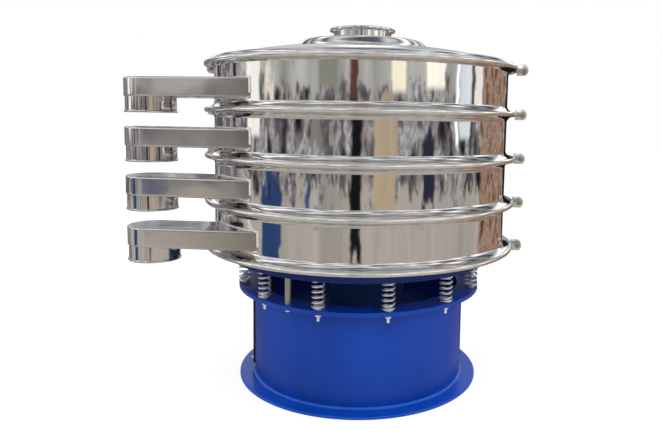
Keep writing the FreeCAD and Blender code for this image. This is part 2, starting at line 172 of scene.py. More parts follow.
def fix_normals(obj, sharp=40.0):
    """Join double points and turn every face outwards."""
    mesh = bmesh.new()
    mesh.from_mesh(obj.data)
    bmesh.ops.remove_doubles(mesh, verts=mesh.verts, dist=1e-6)
    bmesh.ops.dissolve_degenerate(mesh, edges=mesh.edges, dist=1e-7)
    bmesh.ops.recalc_face_normals(mesh, faces=mesh.faces)
    mesh.to_mesh(obj.data)
    mesh.free()
    shade(obj.data, sharp)


def new_object(name, verts, faces, sharp=40.0):
    data = bpy.data.meshes.new(name)
    data.from_pydata([tuple(v) for v in verts], [], faces)
    data.validate()
    data.update()
    obj = linked(name, data)
    fix_normals(obj, sharp)
    return obj


def end_faces(rows, count):
    """Faces that close the first and the last of rows of points."""
    return [tuple(range(count)), tuple((rows - 1) * count + j for j in reversed(range(count)))]


def ring_faces(rows, count, closed=False):
    """Faces between rows of points, closed to a ring or with an end face at both ends."""
    faces = []
    for i in range(rows if closed else rows - 1):
        after = (i + 1) % rows
        for j in range(count):
            k = (j + 1) % count
            faces.append((i * count + j, i * count + k, after * count + k, after * count + j))
    return faces if closed else faces + end_faces(rows, count)


def arc_between(begin, end, radius, side, steps):
    """Points of a shallow arc after its first corner; side 1 bulges to the left of its way."""
    middle = (begin + end) / 2
    chord = end - begin
    across = Vector((-chord.y, chord.x)).normalized()
    depth = sqrt(max(radius**2 - (chord.length / 2) ** 2, 0.0))
    centre = middle - across * depth * side
    first = atan2(begin.y - centre.y, begin.x - centre.x)
    last = atan2(end.y - centre.y, end.x - centre.x)
    while last - first > pi:
        last -= 2 * pi
    while last - first < -pi:
        last += 2 * pi
    turns = [first + (last - first) * i / steps for i in range(1, steps)]
    return [centre + Vector((cos(turn), sin(turn))) * radius for turn in turns]


def supported(points, reach=0.0015, long_side=0.012):
    """The same outline with points near both ends of long sides, so that they shade flat."""
    result = []
    for i, point in enumerate(points):
        after = points[(i + 1) % len(points)]
        result.append(point)
        if (after - point).length > long_side:
            along = (after - point).normalized() * reach
            result += [point + along, after - along]
    return result


def outline(corners, rounds=None, arcs=None, steps=6):
    """Closed outline (radius, height) with curved sides and rounded corners."""
    rounds = rounds or {}
    arcs = arcs or {}
    points = [Vector(c) for c in corners]
    count = len(points)
    result = []
    for i, point in enumerate(points):
        following = points[(i + 1) % count]
        if i in rounds:
            before = (points[i - 1] - point).normalized()
            after = (following - point).normalized()
            half = max(before.angle(after) / 2, 0.05)
            radius = rounds[i]
            reach = radius / tan(half)
            begin = point + before * reach
            end = point + after * reach
            turn = before.x * after.y - before.y * after.x
            side = 1 if turn > 0 else -1
            result += [begin, *arc_between(begin, end, radius, side, CORNER_STEPS), end]
        else:
            result.append(point)
        if i in arcs:
            radius, side = arcs[i]
            result += arc_between(point, following, radius, side, steps)
    return supported(result)


def rectangle(inner, outer, low, high):
    return [(inner, low), (outer, low), (outer, high), (inner, high)]


def lathe(name, points, steps=ROUND_STEPS, first=0.0, last=360.0, sharp=40.0):
    """Closed outline turned about the vertical axis, all round or between two angles."""
    full = last - first >= 359.999
    rows = steps if full else steps + 1
    verts = []
    for i in range(rows):
        degrees = first + (last - first) * i / steps
        verts += [angle_place(p.x, degrees, p.y) for p in points]
    count = len(points)
    faces = []
    for i in range(steps):
        after = (i + 1) % rows
        for j in range(count):
            k = (j + 1) % count
            faces.append((i * count + j, after * count + j, after * count + k, i * count + k))
    if not full:
        faces += end_faces(rows, count)
    return new_object(name, verts, faces, sharp)


def join(name, pieces, sharp=40.0):
    """One object from several."""
    mesh = bmesh.new()
    for piece in pieces:
        copy = piece.data.copy()
        copy.transform(piece.matrix_world)
        mesh.from_mesh(copy)
        bpy.data.meshes.remove(copy)
        bpy.data.objects.remove(piece)
    return from_bmesh(name, mesh, sharp)


def tube(name, path, radius, sides=8, closed=False):
    """Round tube along a path of points; radius is a number or one value per point."""
    count = len(path)
    radii = radius if isinstance(radius, list) else [radius] * count
    verts = []
    for i, point in enumerate(path):
        before = path[i - 1] if (i > 0 or closed) else path[i]
        after = path[(i + 1) % count] if (i < count - 1 or closed) else path[i]
        along = (after - before).normalized()
        side = along.cross(UP)
        if side.length < 1e-6:
            side = along.cross(Vector((1, 0, 0)))
        side.normalize()
        over = side.cross(along).normalized()
        for j in range(sides):
            turn = 2 * pi * j / sides
            verts.append(point + (side * cos(turn) + over * sin(turn)) * radii[i])
    return new_object(name, verts, ring_faces(count, sides, closed), 50.0)


def prism(name, corners, low, high, bevel=0.0):
    """Upright block over a plan outline, with its edges rounded."""
    mesh = bmesh.new()
    bottom = [mesh.verts.new((c[0], c[1], low)) for c in corners]
    face = mesh.faces.new(bottom)
    made = bmesh.ops.extrude_face_region(mesh, geom=[face])
    for vert in [g for g in made["geom"] if isinstance(g, bmesh.types.BMVert)]:
        vert.co.z = high
    bmesh.ops.recalc_face_normals(mesh, faces=mesh.faces)
    if bevel > 0:
        edges = [e for e in mesh.edges if e.calc_face_angle(0.0) > radians(30)]
        bmesh.ops.bevel(mesh, geom=edges, offset=bevel, segments=2, profile=0.6, affect="EDGES")
    return from_bmesh(name, mesh)


def round_outline(radius, steps):
    turns = [2 * pi * i / steps for i in range(steps)]
    return [(radius * cos(turn), radius * sin(turn)) for turn in turns]


def bolt(name, place, axis, size, shank, turn, nut=True):
    """Hex head or nut on a washer with the bolt's end standing out of it, along axis."""
    washer_top = size * 0.14
    hex_top = washer_top + size * 0.75
    hex_corner = size * 1.62 / sqrt(3)
    pieces = [
        prism(name + "_washer", round_outline(size * 1.05, 24), 0.0, washer_top, size * 0.03),
        prism(name + "_hex", round_outline(hex_corner, 6), washer_top, hex_top, size * 0.09),
    ]
    if nut:
        end = round_outline(size * 0.46, 16)
        pieces.append(prism(name + "_end", end, size * 0.8, hex_top + shank, size * 0.07))
    obj = join(name, pieces)
    rotation = UP.rotation_difference(axis).to_matrix().to_4x4()
    spin = Matrix.Rotation(turn, 4, "Z")
    obj.data.transform(Matrix.Translation(place) @ rotation @ spin)
    return obj


# Material tools

class Nodes:
    """Short ways to add nodes to a tree."""

    def __init__(self, tree):
        self.tree = tree
        self.nodes = tree.nodes

    def add(self, kind, **inputs):
        node = self.nodes.new(kind)
        for name, value in inputs.items():
            node.inputs[name.replace("_", " ")].default_value = value
        return node

    def put(self, value, socket):
        """Link a source to a socket, or set the socket to a number or colour."""
        if isinstance(value, bpy.types.NodeSocket):
            self.tree.links.new(value, socket)
        elif isinstance(value, tuple):
            socket.default_value = (*value, 1.0)
        else:
            socket.default_value = value

    def math(self, operation, *values):
        node = self.nodes.new("ShaderNodeMath")
        node.operation = operation
        for index, value in enumerate(values):
            self.put(value, node.inputs[index])
        return node.outputs["Value"]

    def noise_at(self, place, scale, detail, rough):
        node = self.add("ShaderNodeTexNoise", Scale=scale, Detail=detail, Roughness=rough)
        self.put(place, node.inputs["Vector"])
        return node.outputs["Fac"]

    def ramp(self, source, stops):
        node = self.nodes.new("ShaderNodeValToRGB")
        ramp = node.color_ramp
        while len(ramp.elements) < len(stops):
            ramp.elements.new(0.5)
        for element, (position, colour) in zip(ramp.elements, stops):
            element.position = position
            element.color = (*colour, 1.0)
        self.put(source, node.inputs["Fac"])
        return node.outputs["Color"]


class Paint(Nodes):
    """A node material with its shader."""

    def __init__(self, name):
        self.material = bpy.data.materials.new(name)
        self.material.use_nodes = True
        super().__init__(self.material.node_tree)
        self.shader = [n for n in self.nodes if n.type == "BSDF_PRINCIPLED"][0]
        self.place = self.add("ShaderNodeTexCoord").outputs["Object"]

    def set(self, **values):
        for name, value in values.items():
            self.shader.inputs[name.replace("_", " ")].default_value = value

    def noise(self, scale, detail, stretch=(1, 1, 1), rough=0.5):
        """Noise, drawn out along an axis where its stretch is small."""
        node = self.add("ShaderNodeMapping", Scale=stretch)
        self.put(self.place, node.inputs["Vector"])
        return self.noise_at(node.outputs["Vector"], scale, detail, rough)

    def span(self, source, low, high):
        """Map a 0 to 1 value to a range."""
        node = self.add("ShaderNodeMapRange", To_Min=low, To_Max=high)
        self.put(source, node.inputs["Value"])
        return node.outputs["Result"]

    def bump(self, heights):
        """Chain bumps from (source, strength, distance)."""
        last = None
        for source, strength, distance in heights:
            node = self.add("ShaderNodeBump", Strength=strength, Distance=distance)
            self.put(source, node.inputs["Height"])
            if last is not None:
                self.put(last, node.inputs["Normal"])
            last = node.outputs["Normal"]
        self.put(last, self.shader.inputs["Normal"])

    def tint(self, source, stops):
        self.put(self.ramp(source, stops), self.shader.inputs["Base Color"])

    def shine(self, source, low, high):
        """Roughness between two values by a source."""
        self.put(self.span(source, low, high), self.shader.inputs["Roughness"])


def polished_steel(name, tint=(0.8, 0.79, 0.77), dull=0.035, wave=0.16):
    """Mirror-polished stainless sheet: faint upright streaks of painted reflection in its colour,
    faint grind lines, slow waves and small stains.
    """
    paint = Paint(name)
    paint.set(Metallic=1.0, IOR=2.5)
    # Painted reflection: the colour darkens a little in long upright streaks.
    streaks = paint.noise(34.0, 4.0, (1, 1, 0.06), 0.6)
    dark = tuple(c * 0.86 for c in tint)
    paint.tint(streaks, [(0.3, dark), (0.7, tint)])
    smudge = paint.noise(7.0, 5.0, (1, 1, 1), 0.6)
    paint.shine(smudge, dull * 0.6, dull * 1.7)
    waves = paint.noise(5.5, 1.5, (1, 1, 0.35), 0.4)
    grind = paint.noise(420.0, 2.0, (1, 1, 0.02), 0.5)
    paint.bump([(waves, wave, 0.006), (grind, 0.05, 0.0006)])
    return paint.material


def chute_painted_reflection(name):
    """Polished folded sheet with a painted reflection: a little darker towards the weld at the drum,
    shifted by random blotches.
    """
    near, middle, end = (0.45, 0.42, 0.39), (0.7, 0.68, 0.65), (0.79, 0.78, 0.76)
    paint = Paint(name)
    split = paint.add("ShaderNodeSeparateXYZ")
    paint.put(paint.place, split.inputs["Vector"])
    blotch = paint.span(paint.noise(5.0, 4.0), -0.75, -0.25)
    # Painted reflection: the colour darkens along X towards the drum, and random blotches of tone
    # shift it.
    along = paint.math("MULTIPLY_ADD", split.outputs["X"], -1.9, blotch)
    paint.set(Metallic=1.0)
    paint.tint(along, [(0.0, near), (0.35, middle), (0.95, end)])
    paint.shine(paint.noise(9.0, 4.0), 0.06, 0.13)
    lines = paint.noise(300.0, 2.0, (0.03, 1.0, 1.0), 0.6)
    paint.bump([(paint.noise(6.0, 1.5), 0.3, 0.005), (lines, 0.06, 0.0005)])
    return paint.material


def brushed_steel(name, tint, along, dull):
    """Satin steel with fine lines."""
    paint = Paint(name)
    paint.set(Metallic=1.0, Anisotropic=0.45)
    lines = paint.noise(260.0, 3.0, along, 0.65)
    blotch = paint.noise(6.0, 4.0, (1, 1, 1), 0.6)
    dark = tuple(c * 0.82 for c in tint)
    paint.tint(blotch, [(0.3, dark), (0.75, tint)])
    paint.shine(lines, dull * 0.75, dull * 1.35)
    paint.bump([(lines, 0.12, 0.0005), (paint.noise(9.0, 2.0), 0.25, 0.003)])
    return paint.material


def bright_zinc(name, tint=(0.86, 0.87, 0.89), dull=0.22, metal=0.6):
    """Bright zinc on wire and fasteners, with a mottled coat."""
    paint = Paint(name)
    paint.set(Metallic=metal)
    mottle = paint.noise(90.0, 4.0)
    dark = tuple(c * 0.8 for c in tint)
    paint.tint(mottle, [(0.35, dark), (0.65, tint)])
    paint.shine(mottle, dull * 0.7, dull * 1.4)
    paint.bump([(paint.noise(300.0, 3.0), 0.1, 0.0004)])
    return paint.material


def gloss_paint(name, colour, dull=0.36, coat=0.14):
    """Sprayed gloss paint on steel plate: orange peel, thin shade changes and worn spots."""
    paint = Paint(name)
    paint.set(Coat_Weight=coat, Coat_Roughness=0.12, IOR=1.42, Specular_IOR_Level=0.2)
    drift = paint.noise(3.2, 4.0, (1, 1, 0.6), 0.55)
    deep = tuple(c * 0.72 for c in colour)
    bright = tuple(min(1.0, c * 1.18 + 0.004) for c in colour)
    paint.tint(drift, [(0.25, deep), (0.5, colour), (0.8, bright)])
    paint.shine(paint.noise(14.0, 5.0), dull * 0.75, dull * 1.3)
    paint.bump([(paint.noise(260.0, 2.0), 0.1, 0.0006), (paint.noise(9.0, 2.0), 0.22, 0.002)])
    return paint.material


def soft_rubber(name, colour):
    paint = Paint(name)
    grain = paint.noise(220.0, 4.0)
    dark = tuple(c * 0.7 for c in colour)
    paint.tint(grain, [(0.3, dark), (0.7, colour)])
    paint.shine(grain, 0.6, 0.85)
    paint.bump([(grain, 0.2, 0.0005)])
    return paint.material


def woven_wire(name):
    """Fine square wire cloth."""
    paint = Paint(name)
    paint.set(Metallic=1.0)
    bands = []
    for direction in "XY":
        wave = paint.add("ShaderNodeTexWave", Scale=160.0)
        wave.bands_direction = direction
        paint.put(paint.place, wave.inputs["Vector"])
        bands.append(wave.outputs["Fac"])
    weave = paint.math("MAXIMUM", *bands)
    gap, wire = (0.05, 0.05, 0.05), (0.62, 0.62, 0.6)
    paint.tint(weave, [(0.35, gap), (0.8, wire)])
    paint.shine(weave, 0.5, 0.3)
    paint.bump([(weave, 0.6, 0.0008)])
    return paint.material


# Colours and materials

BLUE = (0.001, 0.037, 0.28)
# Painted light: a lighter copy of the blue for the foot flange, whose top catches more light.
FOOT_BLUE_PAINTED_LIGHT = (0.002, 0.058, 0.42)
# Painted shade: a darker copy of the blue for the table rim, in the shade under the drum.
TABLE_BLUE_PAINTED_SHADE = (0.001, 0.014, 0.1)
# Painted highlight: a lighter copy of the blue for the weld beads round the base.
WELD_BLUE_PAINTED_HIGHLIGHT = (0.008, 0.085, 0.5)
MATERIALS = {}
for make, name, *values in (
    (polished_steel, "polished_stainless"),
    (polished_steel, "clamp_stainless", (0.97, 0.95, 0.92), 0.14, 0.12),
    (chute_painted_reflection, "chute_stainless_painted_reflection"),
    (bright_zinc, "weld_stainless", (0.95, 0.93, 0.9), 0.3, 0.5),
    (gloss_paint, "blue_paint", BLUE),
    (gloss_paint, "foot_paint_painted_light", FOOT_BLUE_PAINTED_LIGHT, 0.3, 0.4),
    (gloss_paint, "table_paint_painted_shade", TABLE_BLUE_PAINTED_SHADE),
    (gloss_paint, "weld_paint_painted_highlight", WELD_BLUE_PAINTED_HIGHLIGHT, 0.2, 0.6),
    (gloss_paint, "motor_paint", (0.02, 0.06, 0.2), 0.45, 0.2),
    (gloss_paint, "black_paint", (0.012, 0.012, 0.014), 0.45, 0.2),
    (soft_rubber, "black_rubber", (0.02, 0.02, 0.02)),
    (soft_rubber, "white_rubber", (0.75, 0.74, 0.7)),
    (bright_zinc, "bright_zinc"),
    (bright_zinc, "ear_zinc", (0.44, 0.44, 0.4), 0.22, 0.9),
    (bright_zinc, "spring_zinc", (0.95, 0.96, 0.97), 0.17, 0.88),
    (brushed_steel, "grey_steel", (0.58, 0.57, 0.52), (1, 1, 0.05), 0.42),
    (woven_wire, "woven_wire"),
):
    MATERIALS[name] = make(name, *values)


def coat(data, material):
    data.materials.clear()
    data.materials.append(MATERIALS[material])


def dress(obj, material, body, slot, *nodes):
    """Give a piece its material and body, and hide the solids that it stands for. The slot is not
    used.
    """
    coat(obj.data, material)
    if body:
        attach(obj, body)
    if nodes:
        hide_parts(*nodes)


# Solids that stay, by their material
KEPT_SOLIDS = {
    "blue_paint": ("base_shell", "table_plate"),
    "black_paint": ("access_cover",),
    "black_rubber": ("access_gasket",),
    "bright_zinc": ("lower_spring_seats", "upper_spring_seats"),
    "motor_paint": ("motor", "motor_terminal_box"),
    "grey_steel": ("eccentric_weight",),
    "polished_stainless": ("bottom_tray",),
    "woven_wire": ("sieve_1", "sieve_2", "sieve_3"),
    "white_rubber": ("lid_seal",),
}


# Drum frames

def clamp_height(level):
    return LOWEST_CLAMP + CLAMP_PITCH * level


def frame_outline(low, high, top_rise):
    """Section of a screen frame, as in the solid, with curved flares and eased lips."""
    inner = DRUM_RADIUS - DRUM_WALL
    corners = [
        (LIP_RADIUS, low),
        (LIP_RADIUS, low + LIP_THICKNESS),
        (LIP_INNER, low + LIP_THICKNESS),
        (DRUM_RADIUS, low + FLANGE_RISE),
        (DRUM_RADIUS, high - top_rise),
        (LIP_INNER, high - LIP_THICKNESS),
        (LIP_RADIUS, high - LIP_THICKNESS),
        (LIP_RADIUS, high),
        (LIP_INNER - DRUM_WALL, high),
        (inner, high - top_rise),
        (inner, low + FLANGE_RISE),
        (LIP_INNER - DRUM_WALL, low),
    ]
    inner_flare = FLARE_RADIUS + DRUM_WALL
    arcs = {2: (FLARE_RADIUS, 1), 4: (FLARE_RADIUS, 1), 8: (inner_flare, -1), 10: (inner_flare, -1)}
    return outline(corners, None, arcs)


def cut_with(obj, tool):
    """Take one solid away from another and apply it."""
    modifier = obj.modifiers.new("cut", "BOOLEAN")
    modifier.operation = "DIFFERENCE"
    modifier.solver = "EXACT"
    modifier.object = tool
    bpy.context.view_layer.objects.active = obj
    bpy.context.view_layer.update()
    graph = bpy.context.evaluated_depsgraph_get()
    data = bpy.data.meshes.new_from_object(obj.evaluated_get(graph))
    obj.modifiers.clear()
    obj.data = data
    bpy.data.objects.remove(tool)


def chute_turn(number):
    """The lowest chute stands turned round from the others."""
    degrees = LOWEST_CHUTE_TURN if number == 4 else 0.0
    return Matrix.Rotation(radians(degrees), 4, "Z")


def chute_top(number):
    return clamp_height(5 - number) - CHUTE_TOP_DROP


def chute_plan(inset):
    """Plan outline of a chute from the drum, round its end and back to the drum."""
    half = CHUTE_WIDTH / 2 - inset
    near, far = CHUTE_MIDDLE - half, CHUTE_MIDDLE + half
    points = [Vector((-sqrt(DRUM_RADIUS**2 - near**2), near))]
    for i in range(CHUTE_END_STEPS + 1):
        turn = pi * 1.5 - pi * i / CHUTE_END_STEPS
        across = CHUTE_MIDDLE + half * sin(turn)
        points.append(Vector((-CHUTE_END + half * cos(turn), across)))
    points.append(Vector((-sqrt(DRUM_RADIUS**2 - far**2), far)))
    return points


def drum_arc(begin, end, steps=12):
    """Points along the drum from one plan point to another, without the ends."""
    first = atan2(begin.y, begin.x)
    last = atan2(end.y, end.x)
    if last - first > pi:
        last -= 2 * pi
    if first - last > pi:
        last += 2 * pi
    turns = [first + (last - first) * i / steps for i in range(1, steps)]
    return [Vector((DRUM_RADIUS * cos(turn), DRUM_RADIUS * sin(turn))) for turn in turns]


def build_frames():
    for number in range(1, 5):
        low = clamp_height(4 - number) + LIP_GAP
        high = clamp_height(5 - number) - LIP_GAP
        rise = LID_FLANGE_RISE if number == 1 else FLANGE_RISE
        name = f"screen_frame_{number}"
        drum = lathe(name + "_shell", frame_outline(low, high, rise), sharp=DRUM_SHARP)
        plan = chute_plan(CHUTE_WALL)
        plan[0].x += CUT_REACH
        plan[-1].x += CUT_REACH
        top = chute_top(number)
        window = prism(name + "_window", plan, top - CHUTE_HEIGHT + CHUTE_WALL, top - CHUTE_WALL)
        window.data.transform(chute_turn(number))
        cut_with(drum, window)
        seam_angle = SEAM_FIRST_ANGLE - SEAM_TURN * number
        seam = weld_seam(name + "_seam", low + FLANGE_RISE, high - rise, seam_angle)
        drum = join(name + "_drum", [drum, seam], DRUM_SHARP)
        dress(drum, "polished_stainless", MOVING, "polished_stainless", name)


def weld_seam(name, low, high, degrees):
    """Ground vertical weld in a rolled drum, barely proud of the sheet."""
    heights = [low + (high - low) * i / 24 for i in range(25)]
    path = [angle_place(DRUM_RADIUS - SEAM_DEPTH, degrees, height) for height in heights]
    return tube(name, path, SEAM_RADIUS)


def bead(name, path, radius, seed, sides=8):
    """Weld bead round a closed path, its thickness rippled."""
    radii = []
    for i, point in enumerate(path):
        ripple = noise.noise(Vector((point.x * RIPPLES + seed, point.y * RIPPLES, point.z * RIPPLES)))
        radii.append(radius * (1.0 + 0.16 * ripple + 0.07 * sin(i * 1.7)))
    return tube(name, path, radii, sides, True)


def dense(path):
    """The same path with points close enough for a weld."""
    result = [path[0]]
    for begin, end in zip(path, path[1:]):
        count = max(1, round((end - begin).length / WELD_STEP))
        result += [begin.lerp(end, i / count) for i in range(1, count + 1)]
    return result


def build_chutes():
    """Outlet chutes folded from sheet: side wall, top, floor with its hole, spout and welds."""
    for number in range(1, 5):
        name = f"outlet_chute_{number}"
        top = chute_top(number)
        low = top - CHUTE_HEIGHT
        outer = chute_plan(0.0)
        edge = drum_arc(outer[-1], outer[0])
        wall = folded_sheet(name + "_wall", low, top)
        plate = chute_plan(CHUTE_BEND - PLATE_EASE)
        plate += drum_arc(plate[-1], plate[0])
        cover = prism(name + "_cover", plate, top - CHUTE_WALL, top)
        floor = floor_plate(name + "_floor", plate, low)
        spout = spout_mesh(name + "_spout", low)
        turn = chute_turn(number)
        obj = join(name + "_duct", [wall, cover, floor, spout], 42.0)
        obj.data.transform(turn)
        dress(obj, "chute_stainless_painted_reflection", MOVING, "polished_stainless", name)
        saddle = dense(saddle_path(outer, edge, top, low))
        weld = bead(name + "_saddle_weld", saddle, SADDLE_WELD, number * 7.7)
        weld.data.transform(turn)
        dress(weld, "weld_stainless", MOVING, "polished_stainless")


def folded_sheet(name, low, top):
    """Side wall of a duct all round its plan, bent inwards at its top and bottom edge."""
    section = []
    for inset, bend in ((0.0, CHUTE_BEND), (CHUTE_WALL, CHUTE_BEND - CHUTE_WALL)):
        half = []
        for i in range(6):
            turn = pi / 2 * i / 5
            half.append((inset + bend * (1 - sin(turn)), bend * (1 - cos(turn)) + inset))
        side = [(reach, low + rise) for reach, rise in half]
        side.append((inset, low + CHUTE_BEND + SUPPORT))
        side.append((inset, top - CHUTE_BEND - SUPPORT))
        side += [(reach, top - rise) for reach, rise in reversed(half)]
        section += side if inset == 0.0 else side[::-1]
    count = len(section)
    columns = []
    for inset, height in section:
        plan = chute_plan(inset)
        begin = plan[0].lerp(plan[1], 0.97)
        end = plan[-1].lerp(plan[-2], 0.97)
        plan = [plan[0], begin] + plan[1:-1] + [end, plan[-1]]
        columns.append([Vector((p.x, p.y, height)) for p in plan])
    rows = len(columns[0])
    verts = [column[i] for i in range(rows) for column in columns]
    return new_object(name, verts, ring_faces(rows, count))


def saddle_path(outer, edge, top, low):
    """Where the duct meets the drum: along its top, down the far side, back and up the near side."""
    over = [Vector((p.x, p.y, top)) for p in [outer[-1]] + edge + [outer[0]]]
    under = [Vector((p.x, p.y, low)) for p in [outer[0]] + edge[::-1] + [outer[-1]]]
    return over + under


def floor_plate(name, plan, low):
    """Floor of a duct, with the spout's hole."""
    mesh = bmesh.new()
    rings = []
    hole = round_outline(SPOUT_RADIUS - CHUTE_WALL, 48)
    hole = [(x - CHUTE_END, y + CHUTE_MIDDLE) for x, y in hole]
    for height in (low, low + CHUTE_WALL):
        edges = []
        for loop in (plan, hole):
            verts = [mesh.verts.new((x, y, height)) for x, y in loop]
            rings.append(verts)
            edges += [mesh.edges.new(pair) for pair in zip(verts, verts[1:] + verts[:1])]
        bmesh.ops.triangle_fill(mesh, use_beauty=True, edges=edges)
    for lower, upper in ((rings[0], rings[2]), (rings[1], rings[3])):
        for i in range(len(lower)):
            k = (i + 1) % len(lower)
            mesh.faces.new((lower[i], lower[k], upper[k], upper[i]))
    bmesh.ops.recalc_face_normals(mesh, faces=mesh.faces)
    return from_bmesh(name, mesh)


def spout_mesh(name, low):
    """Round spout with a rolled bead at its mouth."""
    inner = SPOUT_RADIUS - CHUTE_WALL
    rolled = SPOUT_RADIUS + 0.003
    mouth = low - SPOUT_LENGTH
    root = low + 0.002
    corners = [
        (inner, mouth + 0.002),
        (rolled, mouth),
        (rolled, mouth + 0.006),
        (SPOUT_RADIUS, mouth + 0.0085),
        (SPOUT_RADIUS, root),
        (inner, root),
    ]
    obj = lathe(name, outline(corners, {1: 0.0022, 2: 0.0022}), 72)
    obj.data.transform(Matrix.Translation((-CHUTE_END, CHUTE_MIDDLE, 0)))
    return obj


# Clamp rings

def clamp_outline(plane):
    grip = LIP_GAP + LIP_THICKNESS + FIT
    outer = CLAMP_INNER + CLAMP_BAND - BAND_EASE
    leg = CLAMP_INNER - CLAMP_LEG
    outside = grip + CLAMP_BAND
    corners = [
        (leg, plane - outside),
        (outer, plane - outside),
        (outer, plane + outside),
        (leg, plane + outside),
        (leg, plane + grip),
        (CLAMP_INNER, plane + grip),
        (CLAMP_INNER, plane - grip),
        (leg, plane - grip),
    ]
    return outline(corners, {1: CLAMP_ROUND, 2: CLAMP_ROUND})


def build_clamps():
    half_gap = CLAMP_GAP / 2 / CLAMP_INNER * (180.0 / pi)
    for number in range(1, 6):
        plane = clamp_height(5 - number)
        name = f"clamp_ring_{number}"
        points = clamp_outline(plane)
        pieces = [
            lathe(name + "_front", points, ROUND_STEPS // 2, -90 + half_gap, 90 - half_gap),
            lathe(name + "_back", points, ROUND_STEPS // 2, 90 + half_gap, 270 - half_gap),
        ]
        bolts = []
        for sign in (1, -1):
            pieces += [ear(name + "_ear", sign, edge, plane) for edge in (1, -1)]
            bolts += ear_bolts(name, sign, plane)
        band = join(name + "_band", pieces)
        dress(band, "clamp_stainless", MOVING, "clamp_stainless", name)
        dress(join(name + "_bolts", bolts), "ear_zinc", MOVING, "zinc_steel")


def ear(name, sign, edge, plane):
    """One bolt ear of a clamp, a plate with a rounded outer end."""
    half = EAR_HEIGHT / 2
    straight = EAR_LENGTH - EAR_END
    corners = [(0.0, -half)]
    for i in range(9):
        turn = -pi / 2 + pi * i / 8
        corners.append((straight + EAR_END * cos(turn), half * sin(turn)))
    corners.append((0.0, half))
    obj = prism(name, corners, 0.0, EAR_THICKNESS, EAR_BEVEL)
    stand = Matrix(((1, 0, 0, 0), (0, 0, 1, 0), (0, 1, 0, 0), (0, 0, 0, 1)))
    obj.data.transform(stand)
    shift = CLAMP_GAP / 2 if edge > 0 else -(CLAMP_GAP / 2 + EAR_THICKNESS)
    obj.data.transform(Matrix.Translation((0, shift, 0)))
    if sign < 0:
        obj.data.transform(Matrix.Rotation(pi, 4, "Z"))
    obj.data.transform(Matrix.Translation((sign * (CLAMP_INNER - EAR_SINK), 0, plane)))
    fix_normals(obj)
    return obj


def ear_bolts(name, sign, plane):
    """Clamp bolt with its head, nut and washer, and the stub of thread that stands out."""
    reach = sign * (CLAMP_INNER + EAR_BOLT_REACH)
    outer = CLAMP_GAP / 2 + EAR_THICKNESS
    shank = prism(name + "_shank", round_outline(EAR_BOLT_SHANK, 16), -outer, outer)
    shank.data.transform(Matrix.Rotation(pi / 2, 4, "X"))
    shank.data.transform(Matrix.Translation((reach, 0, plane)))
    front = Vector((reach, -outer, plane))
    back = Vector((reach, outer, plane))
    head = bolt(name + "_head", front, Vector((0, -1, 0)), EAR_BOLT, 0, 0.3, False)
    nut = bolt(name + "_nut", back, Vector((0, 1, 0)), EAR_BOLT, 0.01, 0.1)
    return [shank, head, nut]


# Lid and inlet

def build_lid():
    """Dished lid with a pressed step in its middle, as in the solid, with eased bends."""
    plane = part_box("lid")[0][2]
    wall = 0.0025
    flare, dish = 0.02, 1.5
    edge = plane + 0.02
    shelf = LIP_INNER - 0.014
    shelf_end = shelf - 0.038
    crown, crown_top = 0.276, plane + 0.0665
    step, step_top = 0.228, plane + 0.101
    rise = step_curve((crown, crown_top), (step, step_top))
    under = step_curve((crown - wall, crown_top - wall), (step - wall, step_top - wall))
    corners = [
        (LIP_RADIUS, plane),
        (LIP_RADIUS, plane + LIP_THICKNESS),
        (LIP_INNER, plane + LIP_THICKNESS),
        (shelf, edge),
        (shelf_end, edge + wall),
        *rise,
        (INLET_RADIUS, step_top),
        (INLET_RADIUS, step_top - wall),
        *reversed(under),
        (shelf_end - wall, edge),
        (shelf - wall, edge - wall),
        (LIP_INNER - wall, plane),
    ]
    last = len(corners)
    arcs = {2: (flare, -1), 4: (dish, -1), last - 4: (dish - wall, 1), last - 2: (flare - wall, 1)}
    points = outline(corners, {1: 0.001}, arcs, 32)
    lid = lathe("lid_dish", points, sharp=60.0)
    dress(lid, "polished_stainless", MOVING, "polished_stainless", "lid")


def step_curve(begin, end, steps=10, ease=0.25):
    """Points (radius, height) of the pressed step of the lid, eased at both its ends."""
    points = []
    for i in range(steps + 1):
        share = i / steps
        smooth = share * share * (3 - 2 * share)
        height = begin[1] + (end[1] - begin[1]) * (smooth + (share - smooth) * ease)
        points.append((begin[0] + (end[0] - begin[0]) * share, height))
    return points


def build_inlet():
    low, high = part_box("inlet")
    bottom, top = low[2], high[2]
    rim_low = top - 0.01
    corners = [
        (INLET_BORE, bottom),
        (INLET_RADIUS, bottom),
        (INLET_RADIUS, rim_low),
        (INLET_RIM, rim_low),
        (INLET_RIM, top),
        (INLET_BORE, top),
    ]
    pipe = lathe("inlet_shell", outline(corners, {2: 0.004, 3: 0.0025, 4: 0.003}), 128)
    circle = [angle_place(INLET_RADIUS + 0.0005, i * 3.0, bottom + 0.0045) for i in range(120)]
    weld = bead("inlet_weld", circle, 0.0028, 11.0)
    inlet = join("inlet_pipe", [pipe, weld])
    dress(inlet, "polished_stainless", MOVING, "polished_stainless", "inlet")


# Springs and posts

def spring_place(index, height):
    return angle_place(SPRING_CIRCLE, SPRING_FIRST_ANGLE + index * 360 / SPRING_COUNT, height)


def post_place(index, height):
    return angle_place(SPRING_CIRCLE, POST_FIRST_ANGLE + index * 360 / POST_COUNT, height)


